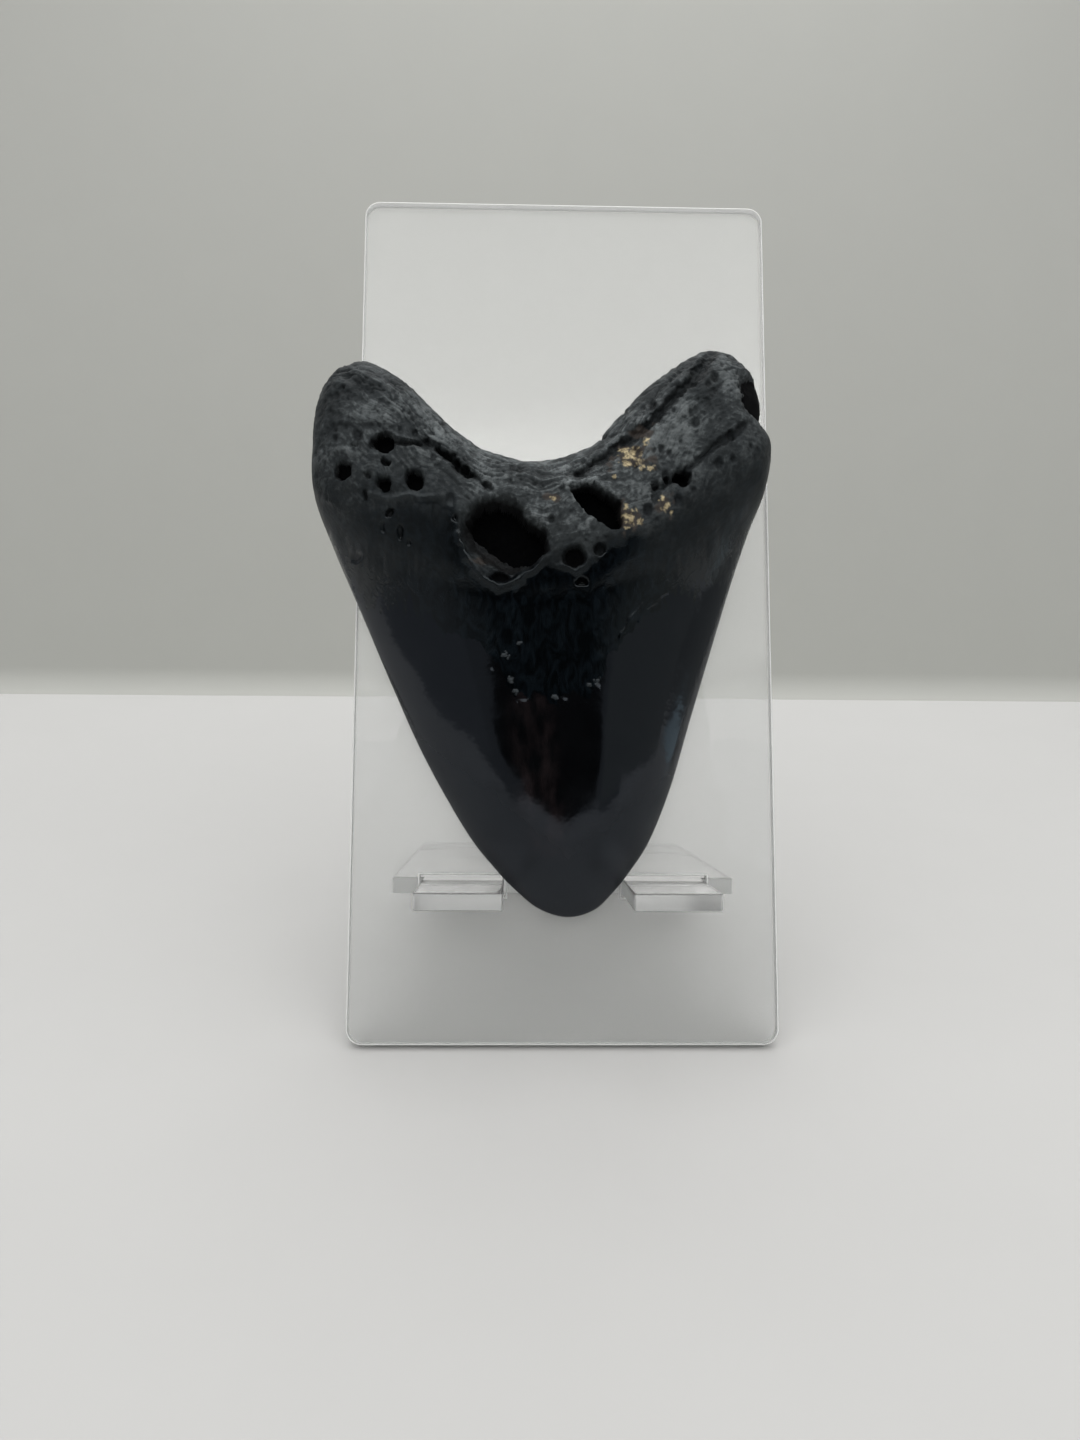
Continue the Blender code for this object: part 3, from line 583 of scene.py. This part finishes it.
# Pores at random over both faces: most are small, and each is a little taller than wide
rng = np.random.default_rng(4)
pores = np.stack([rng.uniform(*PORES_ACROSS, PORE_COUNT), rng.uniform(*PORE_HEIGHTS, PORE_COUNT)], 1)
pore = np.zeros(count)
for centre, size in zip(pores, PORE_LEAST + PORE_MORE * rng.random(PORE_COUNT) ** 5):
    close = np.abs(xy - centre).max(1) < PORE_REACH
    r = np.hypot(*((xy[close] - centre + 0.3 * size * lump[close, None]) / (size * np.array((1.0, 1.4)))).T)
    pore[close] = np.maximum(pore[close], size * np.clip(1.6 - r, 0, 1))
pore *= root
streak = roughly(xy + 0.9 * roughly(xy, (5.0, 5.0), 2, 18.0)[:, None], STREAK_SIZE, 3, 8.0)

# All of it fades in the dark hollows, and nothing stands out past the tooth's left side
detail = root * (LUMP * lump + fine) + STREAK * satin * (1 - root) * streak - pore
detail *= 1 - 0.7 * dark
detail -= deepest * broken * np.clip(2 * outward[:, 2], 0, 1)
inward = smooth_step((xy[:, 0] - xy[:, 0].min()) / 2.5)
detail = np.where(detail > 0, detail * inward, detail)
place += outward * (detail * MM)[:, None]
tooth_mesh.vertices.foreach_set("co", place.ravel())

# Stains and matrix, as (across, height, half-width, half-height): crumbs of tan sandstone in
# the hollows with a brown stain round them, grey flakes where the polish ends
TAN = ((9.2, 83.3, 0.8, 0.6), (10.4, 82.2, 1.3, 1.1), (11.6, 81.1, 1.0, 0.8), (9.8, 80.3, 1.0, 0.6),
       (13.0, 84.4, 0.5, 0.5), (14.0, 79.4, 0.8, 0.5), (12.4, 79.8, 0.6, 0.5), (10.1, 70.6, 0.7, 1.3),
       (11.8, 69.8, 0.9, 0.5), (9.6, 72.8, 0.4, 0.4), (10.8, 71.9, 0.5, 0.5), (16.0, 74.2, 0.4, 0.5),
       (16.7, 72.8, 0.6, 0.7), (17.5, 71.8, 0.4, 0.4), (-3.3, 73.9, 0.6, 0.35), (7.4, 77.9, 0.5, 0.3))
UMBER = ((10.4, 81.8, 3.2, 2.6), (12.8, 86.2, 1.8, 1.8), (10.4, 70.8, 2.0, 2.2), (16.6, 73.0, 1.4, 1.6),
         (-3.3, 73.9, 1.4, 0.8), (-14.6, 64.2, 2.4, 1.2))
FLAKES = ((-10.4, 42.0, 0.4, 0.8), (-9.6, 40.2, 0.5, 0.4), (-8.4, 38.6, 0.7, 0.3), (-2.4, 39.2, 0.8, 0.3),
          (-0.8, 39.0, 0.5, 0.25), (3.4, 41.4, 0.5, 0.5), (5.0, 41.8, 0.5, 0.7), (-14.1, 44.2, 0.3, 0.25),
          (-9.2, 48.8, 0.35, 0.2), (7.3, 46.7, 0.2, 0.25), (-11.8, 46.6, 0.7, 0.4))
RUST = (((-9, 40), (-8.5, 34), (-7.4, 22), (-5.2, 13)),
        ((-5.2, 38), (-4.5, 32), (-3.3, 23), (-1.8, 12.5)))
RUST_HALF_WIDTH = 1.9

# Paler and darker places on the root, with how much paler
RUBBED = ((-40.5, 93, 3.5, 4, -0.3), (-33, 90, 5, 3.5, 0.32), (-25.5, 83.5, 3, 3, 0.25),
          (17, 85.5, 4.5, 3.5, 0.62), (22.5, 97, 1.8, 3.5, -0.45), (27.5, 97, 2.5, 3, 0.3),
          (0.6, 63.4, 3.4, 2.6, -0.5))


def soft_spot(x, y, half_width, half_height):
    """1 in the middle of a spot, fading to 0 round it."""
    return np.exp(-((xy[:, 0] - x) / half_width) ** 2 - ((xy[:, 1] - y) / half_height) ** 2)


def blots(spots, crumb, threshold):
    """Ragged blots round the given spots, broken up into crumbs of the given size."""
    near = np.max([soft_spot(*spot) for spot in spots], 0) * ~on_back
    crumbly = near + 0.9 * roughly(xy, (crumb, crumb), 3, 17.0)
    return smooth_step((crumbly - threshold) / 0.4 + 0.5) * (near > 0.05)


rust = np.max([np.exp(-(nearest_on(path, xy)[0] / RUST_HALF_WIDTH) ** 2) for path in RUST], 0) * ~on_back
rust *= np.clip(0.45 + 0.9 * roughly(xy, (1.5, 4.0), 4, 19.0), 0, 1)
rubbed = sum(much * soft_spot(*spot) for *spot, much in RUBBED)
# relief carries painted shade and highlight: low in grooves and pores, high on ridges
for name, value in (("root", root), ("pale", pale), ("satin", satin), ("rust", rust),
                    ("relief", fine - 1.2 * pore - 0.45 * crease + rubbed), ("sunk", sunk),
                    ("gloss", gloss), ("tan", blots(TAN, 0.7, 0.55)), ("umber", blots(UMBER, 2.0, 0.5)),
                    ("flake", blots(FLAKES, 0.7, 0.6))):
    tooth_mesh.attributes.new(name, 'FLOAT', 'POINT').data.foreach_set("value", value.astype(np.float32))
fibres = np.zeros((count, 3), np.float32)
fibres[:, :2] = flow
tooth_mesh.attributes.new("fibre_way", 'FLOAT_VECTOR', 'POINT').data.foreach_set("vector", fibres.ravel())

# The tooth's three materials, face by face; the third is painted shade, black on the deepest floors
ENAMEL, ROOT, SHADED_PIT = 0, 1, 2
finish = []
for face in tooth_mesh.polygons:
    corners = list(face.vertices)
    above_polish = ROOT if over_polish[corners].mean() > 0 else ENAMEL
    finish.append(SHADED_PIT if dark[corners].mean() > 0.5 else above_polish)
tooth_mesh.polygons.foreach_set("material_index", finish)

on_plate = leaning @ Matrix.Translation((TOOTH_TIP[0] * MM, TOOTH_TIP[1] * MM, 0.0))
tooth_mesh.transform(on_plate)
tooth = bpy.data.objects.new("megalodon_tooth", tooth_mesh)
bpy.context.collection.objects.link(tooth)

# Enamel of the blade: dense black apatite worn to a gloss, a dark and slightly wavy mirror
# of the room, duller where the tip is scuffed, with a faint rust streak and small flakes
SCUFF_FROM, SCUFF_TO = 11.5, 17.5            # up from the tip: dull below, polished above
SCUFF_SLANT, SCUFF_RAGGED = -0.8, 6.0        # its end climbs to both sides, and wanders
enamel, tree, output = new_material("polished_black_enamel")
mm = in_mm(tree, on_plate)
cloud = put(tree, "TexNoise", {"Vector": mm, "Scale": 0.2, "Detail": 5.0}).outputs[0]
speck = put(tree, "TexNoise", {"Vector": mm, "Scale": 1.4, "Detail": 5.0}).outputs[0]
colour = put(tree, "MixRGB", {0: cloud, 1: srgb("#020203"), 2: srgb("#060708")}).outputs[0]
for mark, darker, lighter in (("rust", "#080607", "#1d1819"), ("flake", "#0c0e0f", "#303437")):
    marked = put(tree, "Attribute", attribute_name=mark).outputs["Fac"]
    mottled = put(tree, "MixRGB", {0: speck, 1: srgb(darker), 2: srgb(lighter)}).outputs[0]
    colour = put(tree, "MixRGB", {0: marked, 1: colour, 2: mottled}).outputs[0]
polish = put(tree, "MapRange", {"Value": cloud, "From Min": 0.3, "From Max": 0.7,
                                "To Min": 0.07, "To Max": 0.12}).outputs[0]
spot = put(tree, "SeparateXYZ", {0: mm}).outputs
aside = put(tree, "Math", {0: spot["X"]}, operation='ABSOLUTE').outputs[0]
above = put(tree, "Math", {0: aside, 1: SCUFF_SLANT, 2: spot["Y"]}, operation='MULTIPLY_ADD').outputs[0]
above = put(tree, "Math", {0: cloud, 1: SCUFF_RAGGED, 2: above}, operation='MULTIPLY_ADD').outputs[0]
rough = put(tree, "MapRange", {"Value": above, "From Min": SCUFF_FROM, "From Max": SCUFF_TO,
                               "To Min": 0.38, "To Max": polish}, interpolation_type='SMOOTHSTEP').outputs[0]
rough = put(tree, "MapRange", {"Value": marked, "To Min": rough, "To Max": 0.6}).outputs[0]
wave = put(tree, "TexNoise", {"Vector": mm, "Scale": 0.35, "Detail": 2.0}).outputs[0]
height = put(tree, "Math", {0: speck, 1: 0.05, 2: wave}, operation='MULTIPLY_ADD').outputs[0]
normal = put(tree, "Bump", {"Height": height, "Strength": 0.4, "Distance": 0.00006}).outputs[0]
shader = put(tree, "BsdfPrincipled", {"Base Color": colour, "Metallic": 0.0, "Roughness": rough,
                                      "IOR": 1.46, "Specular Tint": srgb("#e4efff"), "Normal": normal})
tree.links.new(shader.outputs[0], output.inputs["Surface"])
tooth_mesh.materials.append(enamel)

# Root and satin band: porous black apatite, matt above and satin below. It is paler where it
# is rubbed and in fine fibres; painted shade darkens its grooves, pores and hollows, and its ridge
# tops are painted paler, partly as wear and partly as painted highlight; little pits take up half its gloss
worn, tree, output = new_material("worn_black_root")
mm = in_mm(tree, on_plate)
cloud = put(tree, "TexNoise", {"Vector": mm, "Scale": 0.14, "Detail": 3.0}).outputs[0]
speck = put(tree, "TexNoise", {"Vector": mm, "Scale": 1.0, "Detail": 6.0, "Roughness": 0.7}).outputs[0]
marks = {name: put(tree, "Attribute", attribute_name=name).outputs["Fac"]
         for name in ("root", "pale", "satin", "relief", "sunk", "gloss", "tan", "umber", "flake")}
fibre_way = put(tree, "Attribute", attribute_name="fibre_way").outputs["Vector"]
combed = put(tree, "Mapping", {"Vector": fibre_way, "Scale": (0.16, 1.8, 1.0)}).outputs[0]
combed = put(tree, "TexNoise", {"Vector": combed, "Scale": 1.0, "Detail": 5.0, "Roughness": 0.6}).outputs[0]
# Painted shade and highlight: the tone is darker where the relief is low and paler where it is high
relief = put(tree, "MapRange", {"Value": marks["relief"], "From Min": -0.45, "From Max": 0.35}).outputs[0]
tone = put(tree, "Math", {0: relief, 1: 0.55, 2: -0.84}, operation='MULTIPLY_ADD').outputs[0]
for source, weight in ((speck, 0.8), (combed, 0.6), (cloud, 0.7)):
    tone = put(tree, "Math", {0: source, 1: weight, 2: tone}, operation='MULTIPLY_ADD').outputs[0]
drawn = put(tree, "Mapping", {"Vector": mm, "Scale": (0.5, 0.24, 1.0)}).outputs[0]
drawn = put(tree, "TexNoise", {"Vector": drawn, "Scale": 1.0, "Detail": 5.0, "Distortion": 1.4}).outputs[0]
toned = []
for source, stops in ((tone, ((0.15, "#090a0a"), (0.5, "#2a2d2e"), (0.9, "#6a6f70"))),
                      (drawn, ((0.42, "#010203"), (0.74, "#090e12"))),
                      (speck, ((0.36, "#332a20"), (0.66, "#b5a784")))):
    ramp = put(tree, "ValToRGB", {0: source})
    while len(ramp.color_ramp.elements) < len(stops):
        ramp.color_ramp.elements.new(0.5)
    for element, (at, stop) in zip(ramp.color_ramp.elements, stops):
        element.position, element.color = at, srgb(stop)
    toned.append(ramp.outputs[0])
matt_root, satin_band, sand = toned
# Painted shade: the deeper the face is sunk into a hollow, the nearer its colour is to black
deep = put(tree, "MapRange", {"Value": marks["sunk"], "From Min": 0.4, "From Max": 2.6,
                              "To Max": 0.9}).outputs[0]
brown = put(tree, "MixRGB", {0: speck, 1: srgb("#131110"), 2: srgb("#3f3833")}).outputs[0]
grey = put(tree, "MixRGB", {0: speck, 1: srgb("#0c0e0f"), 2: srgb("#303437")}).outputs[0]
colour = satin_band
for amount, over in ((marks["pale"], matt_root), (marks["umber"], brown), (deep, srgb("#0b0909")),
                     (marks["tan"], sand), (marks["flake"], grey)):
    colour = put(tree, "MixRGB", {0: amount, 1: colour, 2: over}).outputs[0]
rough = put(tree, "MapRange", {"Value": marks["satin"], "To Min": 0.14, "To Max": 0.36}).outputs[0]
matt = put(tree, "Math", {0: marks["root"], 1: marks["flake"]}, operation='MAXIMUM').outputs[0]
rough = put(tree, "MapRange", {"Value": matt, "To Min": rough, "To Max": 0.62}).outputs[0]
grit = put(tree, "Math", {0: speck, 1: matt}, operation='MULTIPLY').outputs[0]
height = put(tree, "Math", {0: drawn, 1: 0.2, 2: grit}, operation='MULTIPLY_ADD').outputs[0]
normal = put(tree, "Bump", {"Height": height, "Strength": 0.6, "Distance": 0.0005}).outputs[0]
shader = put(tree, "BsdfPrincipled", {
    "Base Color": colour, "Metallic": 0.0, "Roughness": rough, "IOR": 1.5, "Normal": normal,
    "Specular IOR Level": 0.22, "Specular Tint": srgb("#ecf9ff"),
    "Coat Weight": marks["gloss"], "Coat Roughness": 0.1, "Coat Normal": normal})
tree.links.new(shader.outputs[0], output.inputs["Surface"])
tooth_mesh.materials.append(worn)

# Painted shade for the floors of the deep hollows, holes and the break: near-black with a faint mottle and
# quite without gloss, so it stays black
painted_shade_black, tree, output = new_material("painted_shade_black_floor")
shade_mottle = put(tree, "TexNoise", {"Vector": in_mm(tree, on_plate), "Scale": 1.2, "Detail": 4.0}).outputs[0]
colour = put(tree, "MixRGB", {0: shade_mottle, 1: srgb("#010203"), 2: srgb("#0a0a0b")}).outputs[0]
shader = put(tree, "BsdfPrincipled", {"Base Color": colour, "Roughness": 0.95, "IOR": 1.5,
                                      "Specular IOR Level": 0.05})
tree.links.new(shader.outputs[0], output.inputs["Surface"])
tooth_mesh.materials.append(painted_shade_black)

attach(tooth, "root")
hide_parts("tooth")

# ---------------------------------------------------------------- table and backdrop
# A plain matt white table top with a rounded rear edge. Beyond it a sheet of pale grey
# paper comes down and sweeps forward under the table. They aren't part of the object.

TABLE_REAR, TABLE_EDGE_RADIUS, TABLE_DROP = 189.0, 12.0, -60.0
PAPER_AT, PAPER_LOW, PAPER_TOP, PAPER_SWEEP = 420.0, -84.0, 1400.0, 26.0
REACH = 1500.0                               # how far both go on, out of view
ARC_STEPS = 12


def matt_white(name, colour):
    """Matt painted or paper surface: no gloss, a faint mottle a few centimetres wide."""
    material, tree, output = new_material(name)
    where = put(tree, "TexCoord").outputs["Object"]
    mottle = put(tree, "TexNoise", {"Vector": where, "Scale": 40.0, "Detail": 3.0}).outputs[0]
    value = put(tree, "MapRange", {"Value": mottle, "To Min": 0.985, "To Max": 1.015}).outputs[0]
    tint = put(tree, "HueSaturation", {"Color": srgb(colour), "Value": value}).outputs[0]
    shader = put(tree, "BsdfPrincipled", {"Base Color": tint, "Roughness": 0.7, "IOR": 1.45})
    tree.links.new(shader.outputs[0], output.inputs["Surface"])
    return material


def extruded(name, section, material):
    """Long smooth surface whose (y, z) section runs across the whole view."""
    build = bmesh.new()
    ends = [[build.verts.new((side * REACH * MM, y * MM, z * MM)) for y, z in section] for side in (-1, 1)]
    for i in range(len(section) - 1):
        build.faces.new((ends[0][i], ends[0][i + 1], ends[1][i + 1], ends[1][i])).smooth = True
    mesh = bpy.data.meshes.new(name)
    bmesh.ops.recalc_face_normals(build, faces=build.faces)
    build.to_mesh(mesh)
    build.free()
    mesh.materials.append(material)
    surface = bpy.data.objects.new(name, mesh)
    bpy.context.collection.objects.link(surface)


turns = [radians(90 * step / ARC_STEPS) for step in range(ARC_STEPS + 1)]
rear_edge = [(TABLE_REAR - TABLE_EDGE_RADIUS * (1 - sin(a)), -TABLE_EDGE_RADIUS * (1 - cos(a)))
             for a in turns]
sweep = [(PAPER_AT - PAPER_SWEEP * (1 - sin(a)), PAPER_LOW + PAPER_SWEEP * (1 - cos(a))) for a in turns]
extruded("table_top", [(-REACH, 0), *rear_edge, (TABLE_REAR, TABLE_DROP)],
         matt_white("matt_white_table", "#aaaaa9"))
extruded("paper_backdrop", [(TABLE_REAR, PAPER_LOW), *sweep, (PAPER_AT, PAPER_TOP)],
         matt_white("pale_grey_paper", "#a3a4a0"))

# ---------------------------------------------------------------- light
# Soft light from all round: dim at eye height, bright from the ceiling, with one long lamp
# above and behind the viewer and a small one over the back of the stand. Six cards that only
# mirrors show are what the enamel reflects: a dark figure, the walls round it, a lit blind.

CEILING, EYE_LEVEL, LAMP = 2.1, 0.72, 3.4    # how strong each part of the room's light is
OVERHEAD_SIZE, OVERHEAD_WATTS = 450.0, 1.4
STAND_MIDDLE, OVERHEAD_FROM_IT = Vector((0.0, 0.0, 70.0)), Vector((20.0, 300.0, 400.0))

world = bpy.data.worlds.new("room_light")
bpy.context.scene.world = world
world.use_nodes = True
tree = world.node_tree
tree.nodes.clear()
direction = put(tree, "SeparateXYZ", {0: put(tree, "TexCoord").outputs["Generated"]}).outputs
ceiling = put(tree, "MapRange", {"Value": direction["Z"], "From Min": 0.53, "From Max": 0.57,
                                 "To Min": EYE_LEVEL, "To Max": CEILING},
              interpolation_type='SMOOTHSTEP').outputs[0]
lamp = put(tree, "ValToRGB", {0: direction["Z"]})
glow_at = ((0.602, 0.0), (0.664, 0.16), (0.688, 0.55), (0.707, 1.0), (0.722, 0.87), (0.734, 0.6),
           (0.749, 0.37), (0.776, 0.24), (0.828, 0.06), (0.866, 0.0))     # sine of elevation, glow
while len(lamp.color_ramp.elements) < len(glow_at):
    lamp.color_ramp.elements.new(0.5)
for element, (at, glow) in zip(lamp.color_ramp.elements, glow_at):
    element.position, element.color = at, (glow, glow, glow, 1)
in_front = put(tree, "MapRange", {"Value": direction["Y"], "From Min": -0.1, "From Max": -0.45},
               interpolation_type='SMOOTHSTEP').outputs[0]
lamp = put(tree, "Math", {0: lamp.outputs[0], 1: in_front}, operation='MULTIPLY').outputs[0]
strength = put(tree, "Math", {0: lamp, 1: LAMP, 2: ceiling}, operation='MULTIPLY_ADD').outputs[0]
sky = put(tree, "Background", {"Color": srgb("#fffefd"), "Strength": strength})
tree.links.new(sky.outputs[0], put(tree, "OutputWorld").inputs["Surface"])

overhead = bpy.data.objects.new("overhead_lamp", bpy.data.lights.new("overhead_lamp", 'AREA'))
bpy.context.collection.objects.link(overhead)
overhead.data.size = OVERHEAD_SIZE * MM
overhead.data.energy = OVERHEAD_WATTS
overhead.location = (STAND_MIDDLE + OVERHEAD_FROM_IT) * MM
overhead.rotation_mode = 'QUATERNION'
overhead.rotation_quaternion = OVERHEAD_FROM_IT.to_track_quat('Z', 'Y')


def mirror_card(name, seen_from, corners, distance, colour, glow):
    """Card, seen only in mirrors; its corners are (azimuth, elevation) from a place on the tooth."""
    material, tree, output = new_material(name)
    shader = put(tree, "Emission", {"Color": srgb(colour), "Strength": glow})
    tree.links.new(shader.outputs[0], output.inputs["Surface"])
    build = bmesh.new()
    verts = []
    for azimuth, elevation in corners:
        a, e = radians(azimuth), radians(elevation)
        towards = Vector((sin(a) * cos(e), -cos(a) * cos(e), sin(e)))
        verts.append(build.verts.new((Vector(seen_from) + towards * distance) * MM))
    build.faces.new(verts)
    mesh = bpy.data.meshes.new(name)
    build.to_mesh(mesh)
    build.free()
    mesh.materials.append(material)
    card = bpy.data.objects.new(name, mesh)
    bpy.context.collection.objects.link(card)
    card.visible_camera = card.visible_diffuse = card.visible_transmission = card.visible_shadow = False


mirror_card("dark_figure", (0, -35, 60), (
    (-29, 4.5), (-26, 3), (-18.5, 3), (-10.5, 2.5), (-3, 3), (2.7, 3.3), (6, 4.3), (13, 4.4), (22, 5),
    (24, 8.4), (25.5, 13.8), (22, 18), (15, 23), (14, 42), (-7, 42), (-10, 28), (-16, 20), (-23.5, 13),
    (-29, 8)), distance=900, colour="#050505", glow=1.0)
mirror_card("front_wall", (0, -35, 60), (
    (-45, -7), (-34, -6), (-28, -5), (-22, 1), (-18, 4), (25, 3), (27, 1), (45, 0), (45, 23),
    (-45, 23)), distance=1500, colour="#8a8d90", glow=1.0)
mirror_card("left_wall", (-20, -38, 80), (
    (-125, -19), (-88, -14), (-72, -13), (-58, -10), (-45, -7), (-34, -5), (-34, 31),
    (-125, 31)), distance=240, colour="#96999d", glow=1.0)
mirror_card("right_wall", (16, -44, 68), (
    (27, 1), (46, 0), (62, -3), (80, -6), (80, 31), (27, 31)), distance=500,
    colour="#9ea19f", glow=1.0)
mirror_card("shaded_corner", (30, -38, 80), (
    (80, -7), (90, -12), (104, -20), (140, -28), (140, 25), (110, 25), (80, 25)), distance=300,
    colour="#8e9190", glow=1.0)
mirror_card("lit_blind", (22, -40, 66), (
    (84, -7), (96, -10), (104, -14), (110, -17), (100, -17), (88, -9)), distance=200,
    colour="#c8dce4", glow=1.35)

# ---------------------------------------------------------------- camera
# A phone held a little above the object and looking down on it.

camera = bpy.data.objects.new("camera", bpy.data.cameras.new("camera"))
bpy.context.collection.objects.link(camera)
camera.location = Vector((-5.86, -209.01, 121.26)) * MM
camera.rotation_euler = [radians(a) for a in (71.468, -0.808, -1.178)]
camera.data.lens = 27.05
camera.data.sensor_width = 36.0
camera.data.clip_start = 0.01
bpy.context.scene.camera = camera
bpy.context.scene.view_settings.view_transform = 'Standard'
